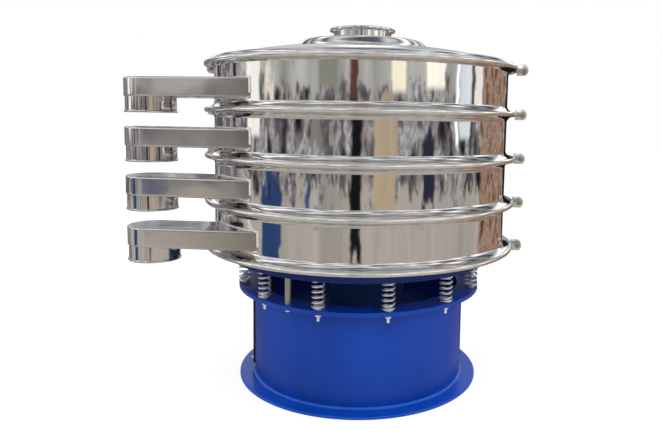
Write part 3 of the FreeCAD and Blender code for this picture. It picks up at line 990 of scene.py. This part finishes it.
def build_springs():
    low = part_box("spring_01")[0][2]
    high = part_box("spring_01")[1][2]
    wire = SPRING_WIRE / 2
    coil = SPRING_RADIUS - wire
    total = int(SPRING_TURNS * COIL_STEPS)
    for index in range(SPRING_COUNT):
        centre = spring_place(index, 0)
        start = index * 1.9
        path = []
        for i in range(total + 1):
            share = i / total
            turns = share * SPRING_TURNS
            height = spring_height(turns, low + wire, high - wire)
            turn = start + turns * 2 * pi
            path.append(centre + Vector((coil * cos(turn), coil * sin(turn), height)))
        name = f"spring_{index + 1:02d}"
        spring = tube(name + "_coil", path, wire, 10)
        dress(spring, "spring_zinc", None, "spring_steel", name)
        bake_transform(spring)


def spring_height(turns, low, high):
    """Height along a coil whose first and last turn lie flat on its seats."""
    closed = 0.9
    flat = SPRING_WIRE * 0.9
    if turns < closed:
        return low + flat * turns / closed
    if turns > SPRING_TURNS - closed:
        return high - flat * (SPRING_TURNS - turns) / closed
    share = (turns - closed) / (SPRING_TURNS - 2 * closed)
    return low + flat + (high - low - 2 * flat) * share


def build_base_bolts():
    """Nuts under the base flange, at every spring and post."""
    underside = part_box("base_top_flange")[0][2]
    pieces = []
    for index in range(SPRING_COUNT):
        place = spring_place(index, underside)
        pieces.append(bolt("spring_nut", place, DOWN, SPRING_NUT, 0.016, index * 0.7))
    for index in range(POST_COUNT):
        place = post_place(index, underside)
        pieces.append(bolt("post_nut", place, DOWN, POST_NUT, 0.002, index * 0.9))
    dress(join("base_flange_nuts", pieces), "bright_zinc", "base", "zinc_steel")


def build_posts():
    low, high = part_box("limit_posts")
    pieces = []
    corners = rectangle(0.0002, POST_RADIUS, low[2], high[2])
    for index in range(POST_COUNT):
        post = lathe("post", outline(corners, {2: 0.0015}), 40)
        post.data.transform(Matrix.Translation(post_place(index, 0)))
        pieces.append(post)
    dress(join("limit_post_bars", pieces), "grey_steel", "base", "grey_steel", "limit_posts")


# Blue base and table

def ring_piece(node, outer, low, high, rounds, material):
    obj = lathe(node + "_ring", outline(rectangle(BASE_BORE, outer, low, high), rounds))
    dress(obj, material, "base", "blue_paint", node)


def build_base():
    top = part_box("floor_flange")[1][2]
    # The foot flange takes the lighter blue with painted light.
    ring_piece("floor_flange", FOOT_RADIUS, 0.0, top, {1: 0.0012, 2: 0.003}, "foot_paint_painted_light")
    low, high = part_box("base_top_flange")
    rounds = {0: 0.0015, 1: 0.0025, 2: 0.0025, 3: 0.0015}
    ring_piece("base_top_flange", TOP_FLANGE_RADIUS, low[2], high[2], rounds, "blue_paint")
    welds = []
    for name, height, size, seed in (
        ("foot_weld", top, 0.0075, 2.0),
        ("top_weld", low[2], 0.005, 8.0),
    ):
        circle = [angle_place(SHELL_RADIUS, i * 0.8, height) for i in range(450)]
        welds.append(bead(name, circle, size, seed, 10))
    # The welds take the lighter blue with a painted highlight.
    dress(join("base_welds", welds), "weld_paint_painted_highlight", "base", "blue_paint")


def build_table():
    skirt_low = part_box("table_rim")[0][2]
    table_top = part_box("table_rim")[1][2]
    blend = 0.014
    inner = SKIRT_RADIUS - SKIRT_WALL
    rim_low = table_top - RIM_THICKNESS
    lip_low = table_top - LIP_THICKNESS
    corners = [
        (inner, skirt_low),
        (SKIRT_RADIUS, skirt_low),
        (SKIRT_RADIUS, rim_low - blend),
        (SKIRT_RADIUS + blend, rim_low),
        (LIP_INNER, rim_low),
        (LIP_INNER, lip_low),
        (LIP_RADIUS, lip_low),
        (LIP_RADIUS, table_top),
        (inner, table_top),
    ]
    rim = lathe("table_rim_ring", outline(corners, {0: 0.0015, 1: 0.002}, {2: (blend, 1)}))
    # The table rim takes the darker blue with painted shade.
    dress(rim, "table_paint_painted_shade", MOVING, "blue_paint", "table_rim")


def build_cover_bolts():
    """Hex bolts along both ends of the access cover."""
    low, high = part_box("access_cover")
    pieces = []
    for degrees in (-90 - COVER_BOLT_ANGLE, -90, -90 + COVER_BOLT_ANGLE):
        for height in (low[2] + COVER_BOLT_EDGE, high[2] - COVER_BOLT_EDGE):
            place = angle_place(COVER_RADIUS, degrees, height)
            out = Vector((place.x, place.y, 0)).normalized()
            pieces.append(bolt("cover_bolt", place, out, COVER_BOLT, 0.0, degrees, False))
    dress(join("access_cover_bolts", pieces), "bright_zinc", "base", "zinc_steel")


def build_motor_bolts():
    """Bolts that hold the motor's flange under the table plate."""
    flange_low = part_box("motor")[1][2] - MOTOR_FLANGE
    pieces = []
    for index in range(8):
        place = angle_place(MOTOR_BOLT_CIRCLE, index * 45.0 + 22.5, flange_low)
        pieces.append(bolt("motor_bolt", place, DOWN, MOTOR_BOLT, 0.004, index * 0.5))
    dress(join("motor_flange_bolts", pieces), "bright_zinc", MOVING, "zinc_steel")


# Stage, light and camera

FLOOR_SIZE = 40.0
FLOOR_GLOW = 1.06
FLOOR_SHARE = 0.72


def mixed_shader(paint, share, first, second):
    node = paint.add("ShaderNodeMixShader")
    for source, socket in zip((share, first, second), node.inputs):
        paint.put(source, socket)
    return node.outputs["Shader"]


def build_floor():
    """White ground, lit up for the camera and clear for the polish."""
    bpy.ops.mesh.primitive_plane_add(size=FLOOR_SIZE, location=(0, 0, 0))
    floor = bpy.context.active_object
    floor.name = "studio_floor"
    paint = Paint("studio_floor")
    paint.set(Roughness=0.9, Specular_IOR_Level=0.0)
    grain = paint.noise(0.6, 2.0)
    dark, bright = (0.93, 0.93, 0.93), (0.95, 0.95, 0.95)
    paint.tint(grain, [(0.3, dark), (0.7, bright)])
    glow = paint.add("ShaderNodeEmission", Strength=FLOOR_GLOW).outputs["Emission"]
    clear = paint.add("ShaderNodeBsdfTransparent").outputs["BSDF"]
    rays = paint.add("ShaderNodeLightPath").outputs
    share = paint.math("MULTIPLY", rays["Is Camera Ray"], FLOOR_SHARE)
    lit = mixed_shader(paint, share, paint.shader.outputs["BSDF"], glow)
    seen = mixed_shader(paint, rays["Is Glossy Ray"], lit, clear)
    output = [n for n in paint.nodes if n.type == "OUTPUT_MATERIAL"][0]
    paint.put(seen, output.inputs["Surface"])
    floor.data.materials.append(paint.material)


class Sky(Nodes):
    """World nodes, with the direction as a bearing in degrees and a slope."""

    def __init__(self):
        world = bpy.data.worlds.new("studio")
        bpy.context.scene.world = world
        world.use_nodes = True
        super().__init__(world.node_tree)
        self.nodes.clear()
        self.direction = self.add("ShaderNodeTexCoord").outputs["Generated"]
        split = self.add("ShaderNodeSeparateXYZ")
        self.put(self.direction, split.inputs["Vector"])
        x, y, self.height = (split.outputs[axis] for axis in "XYZ")
        square = self.math("ADD", self.math("MULTIPLY", x, x), self.math("MULTIPLY", y, y))
        flat = self.math("MAXIMUM", self.math("SQRT", square), 0.05)
        self.slope = self.math("DIVIDE", self.height, flat)
        self.east = self.math("DIVIDE", x, flat)
        self.north = self.math("DIVIDE", y, flat)
        angle = self.math("ARCTAN2", x, self.math("MULTIPLY", y, -1.0))
        self.bearing = self.math("MULTIPLY", angle, 180.0 / pi)

    def streaks(self, rise, scale, detail):
        """Noise round the horizon, drawn out upright where rise is small."""
        place = self.add("ShaderNodeCombineXYZ")
        upward = self.math("MULTIPLY", self.slope, rise)
        for source, axis in zip((self.east, self.north, upward), "XYZ"):
            self.put(source, place.inputs[axis])
        return self.noise_at(place.outputs["Vector"], scale, detail, 0.6)

    def wander(self, noise_value, width):
        """Noise made to swing about zero."""
        return self.math("MULTIPLY", self.math("SUBTRACT", noise_value, 0.5), width)

    def step(self, source, low, high):
        """0 below low, 1 above high and a soft rise between."""
        node = self.add("ShaderNodeMapRange", From_Min=low, From_Max=high)
        node.interpolation_type = "SMOOTHSTEP"
        self.put(source, node.inputs["Value"])
        return node.outputs["Result"]

    def inside(self, source, low, high, soft):
        enter = self.step(source, low - soft, low + soft)
        leave = self.math("SUBTRACT", 1.0, self.step(source, high - soft, high + soft))
        return self.math("MULTIPLY", enter, leave)

    def mix(self, share, first, second, blend="MIX"):
        node = self.nodes.new("ShaderNodeMix")
        node.data_type = "RGBA"
        node.blend_type = blend
        self.put(share, node.inputs["Factor"])
        self.put(first, node.inputs[6])
        self.put(second, node.inputs[7])
        return node.outputs[2]


# What the polish mirrors: bearings in degrees, slopes from low to high, colour
WINDOWS = {
    "left_window": (-84, -71, -0.03, 0.3, (1.2, 1.18, 1.12)),
    "blue_guard": (-24.5, -21.8, -0.183, -0.15, (0.035, 0.075, 0.22)),
    "red_column": (1, 7, 0.01, 0.3, (0.13, 0.055, 0.05)),
    "first_window": (31, 41, 0.045, 0.3, (1.25, 1.18, 0.92)),
    "second_window": (57, 72, 0.05, 0.3, (1.3, 1.25, 1.1)),
    "bright_post": (83, 86, -0.04, 0.3, (1.6, 1.6, 1.6)),
    "third_window": (87, 98, -0.03, 0.3, (0.88, 0.96, 1.05)),
    "dark_post": (98, 101, -0.1, 0.3, (0.07, 0.08, 0.07)),
    "last_window": (102, 111, 0.02, 0.3, (1.15, 1.05, 1.05)),
    "back_door": (158, 179, -0.4, 0.4, (0.01, 0.01, 0.012)),
}
FIGURES = {
    "cream_sheet": (-66, -57, 0.02, 0.075, (0.98, 0.9, 0.8)),
    "blue_machine": (-69, -51, -0.28, -0.105, (0.03, 0.07, 0.2)),
    "blue_figure": (-31.0, -27.5, -0.15, -0.112, (0.035, 0.075, 0.22)),
    "grey_cloth": (-27, -18, -0.065, 0.02, (0.27, 0.26, 0.24)),
    "dark_figure": (2, 10, -0.235, 0.02, (0.01, 0.01, 0.012)),
    "packing_board": (19, 36, -0.155, 0.02, (0.56, 0.44, 0.31)),
    "second_figure": (55, 66, -0.15, -0.03, (0.03, 0.03, 0.055)),
}


def build_world():
    """White to the camera, even light on the object, and a workshop all round for the polish."""
    sky = Sky()
    wide = sky.streaks(0.3, 2.2, 1.5)
    narrow = sky.streaks(1.6, 9.0, 3.5)
    ragged = sky.streaks(2.0, 13.0, 3.0)
    edge = sky.math("ADD", sky.slope, sky.wander(ragged, 0.2))
    bearing = sky.math("ADD", sky.bearing, sky.wander(sky.streaks(9.0, 3.0, 2.0), 7.0))

    wall = sky.ramp(wide, [
        (0.38, (0.3, 0.3, 0.27)),
        (0.47, (0.52, 0.52, 0.51)),
        (0.56, (0.6, 0.6, 0.59)),
        (0.64, (0.4, 0.39, 0.32)),
    ])
    crowd = sky.ramp(narrow, [
        (0.34, (0.01, 0.01, 0.014)),
        (0.41, (0.055, 0.05, 0.075)),
        (0.435, (0.24, 0.19, 0.17)),
        (0.46, (0.05, 0.05, 0.085)),
        (0.49, (0.3, 0.3, 0.29)),
        (0.515, (0.08, 0.075, 0.12)),
        (0.54, (0.85, 0.85, 0.85)),
        (0.57, (0.16, 0.15, 0.15)),
        (0.60, (0.48, 0.42, 0.36)),
        (0.64, (0.12, 0.11, 0.14)),
    ])
    ground = sky.ramp(wide, [
        (0.36, (0.42, 0.39, 0.35)),
        (0.5, (0.55, 0.5, 0.46)),
        (0.64, (0.48, 0.445, 0.4)),
    ])
    brick = sky.ramp(ragged, [
        (0.36, (0.1, 0.05, 0.04)),
        (0.44, (0.34, 0.17, 0.1)),
        (0.5, (0.52, 0.38, 0.29)),
        (0.54, (0.14, 0.1, 0.08)),
        (0.59, (0.6, 0.44, 0.38)),
        (0.64, (0.2, 0.1, 0.07)),
    ])
    far = sky.mix(sky.step(edge, 0.046, 0.056), crowd, wall)
    low = sky.mix(sky.step(edge, -0.125, -0.115), ground, far)
    low = sky.mix(sky.inside(bearing, 112.0, 156.0, 2.0), low, brick)
    low = sky.mix(sky.inside(bearing, -180.0, -92.0, 3.0), low, crowd)
    for height, things in ((sky.slope, WINDOWS), (edge, FIGURES)):
        for left, right, bottom, top, colour in things.values():
            across = sky.inside(bearing, left, right, 0.8)
            up = sky.inside(height, bottom, top, 0.006)
            low = sky.mix(sky.math("MULTIPLY", across, up), low, colour)

    ceiling = sky.ramp(sky.height, [
        (0.0, (0.5, 0.5, 0.5)),
        (0.24, (1.15, 1.15, 1.15)),
        (0.38, (0.85, 0.86, 0.88)),
        (0.46, (0.08, 0.09, 0.1)),
        (0.56, (0.8, 0.82, 0.85)),
        (0.62, (0.12, 0.13, 0.15)),
        (0.72, (1.3, 1.3, 1.3)),
        (0.8, (0.16, 0.17, 0.2)),
        (0.9, (0.75, 0.77, 0.8)),
        (0.96, (0.25, 0.27, 0.3)),
    ])
    lamps = sky.ramp(sky.noise_at(sky.direction, 2.6, 0.5, 0.6), [
        (0.38, (0.42, 0.45, 0.48)),
        (0.45, (1.1, 1.1, 1.1)),
        (0.56, (1.6, 1.6, 1.6)),
        (0.64, (0.6, 0.64, 0.66)),
    ])
    roof = sky.mix(1.0, ceiling, lamps, "MULTIPLY")
    mirrored = sky.mix(sky.step(sky.height, 0.16, 0.22), low, roof)
    lamp_light = sky.ramp(sky.math("MULTIPLY_ADD", sky.height, 0.5, 0.5), [
        (0.0, (0.58, 0.58, 0.59)),
        (0.5, (0.66, 0.66, 0.67)),
        (1.0, (1.7, 1.7, 1.72)),
    ])
    rays = sky.add("ShaderNodeLightPath").outputs
    soft = sky.mix(rays["Is Glossy Ray"], lamp_light, mirrored)
    seen = sky.math("MAXIMUM", rays["Is Camera Ray"], rays["Is Transmission Ray"])
    colour = sky.mix(seen, soft, (1.0, 1.0, 1.0))
    background = sky.add("ShaderNodeBackground", Strength=1.0)
    output = sky.add("ShaderNodeOutputWorld")
    sky.put(colour, background.inputs["Color"])
    sky.put(background.outputs["Background"], output.inputs["Surface"])


def soft_lamp(name, place, target, size, power):
    data = bpy.data.lights.new(name, "AREA")
    data.shape = "RECTANGLE"
    data.size, data.size_y = size
    data.energy = power
    lamp = linked(name, data)
    lamp.visible_glossy = False
    lamp.location = place
    lamp.rotation_euler = (Vector(target) - Vector(place)).to_track_quat("-Z", "Y").to_euler()


def build_light():
    soft_lamp("key_lamp", (-2.6, -3.4, 3.2), (0, 0, 0.7), (1.6, 1.6), 42.0)
    soft_lamp("side_lamp", (3.4, -1.6, 2.4), (0, 0, 0.6), (1.2, 1.8), 26.0)


# Camera values fitted to the photo's edges
PHOTO_WIDTH, PHOTO_HEIGHT = 662, 436
FOCAL_PIXELS = 609.5
CENTRE_X, CENTRE_Y = 374.6, 181.3
CAMERA_TURN = 9.52
CAMERA_DISTANCE = 2.4312
CAMERA_HEIGHT = 1.0098
CAMERA_PITCH, CAMERA_YAW, CAMERA_ROLL = 5.86, 1.34, 0.98
SENSOR = 36.0


def build_camera():
    data = bpy.data.cameras.new("photo_camera")
    camera = linked("photo_camera", data)
    bpy.context.scene.camera = camera
    data.sensor_width = SENSOR
    data.lens = FOCAL_PIXELS / PHOTO_WIDTH * SENSOR
    data.shift_x = (PHOTO_WIDTH / 2 - CENTRE_X) / PHOTO_WIDTH
    data.shift_y = (CENTRE_Y - PHOTO_HEIGHT / 2) / PHOTO_WIDTH
    data.clip_end = 100.0
    pitch, yaw, roll = (radians(v) for v in (CAMERA_PITCH, CAMERA_YAW, CAMERA_ROLL))
    level = cos(pitch)
    forward = Vector((sin(yaw) * level, cos(yaw) * level, -sin(pitch)))
    right = Vector((cos(yaw), -sin(yaw), 0.0))
    up = right.cross(forward)
    side = right * cos(roll) + up * sin(roll)
    over = up * cos(roll) - right * sin(roll)
    back = -forward
    basis = Matrix((
        (side.x, over.x, back.x, 0.0),
        (side.y, over.y, back.y, -CAMERA_DISTANCE),
        (side.z, over.z, back.z, CAMERA_HEIGHT),
        (0.0, 0.0, 0.0, 1.0),
    ))
    camera.matrix_world = Matrix.Rotation(radians(CAMERA_TURN), 4, "Z") @ basis


# The whole scene

build_frames()
build_chutes()
build_clamps()
build_lid()
build_inlet()
build_springs()
build_base_bolts()
build_posts()
build_base()
build_table()
build_cover_bolts()
build_motor_bolts()
for look, nodes in KEPT_SOLIDS.items():
    for node in nodes:
        coat(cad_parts[node].data, look)
build_floor()
build_world()
build_light()
build_camera()
bpy.context.scene.view_settings.view_transform = "Standard"

bpy.context.view_layer.update()
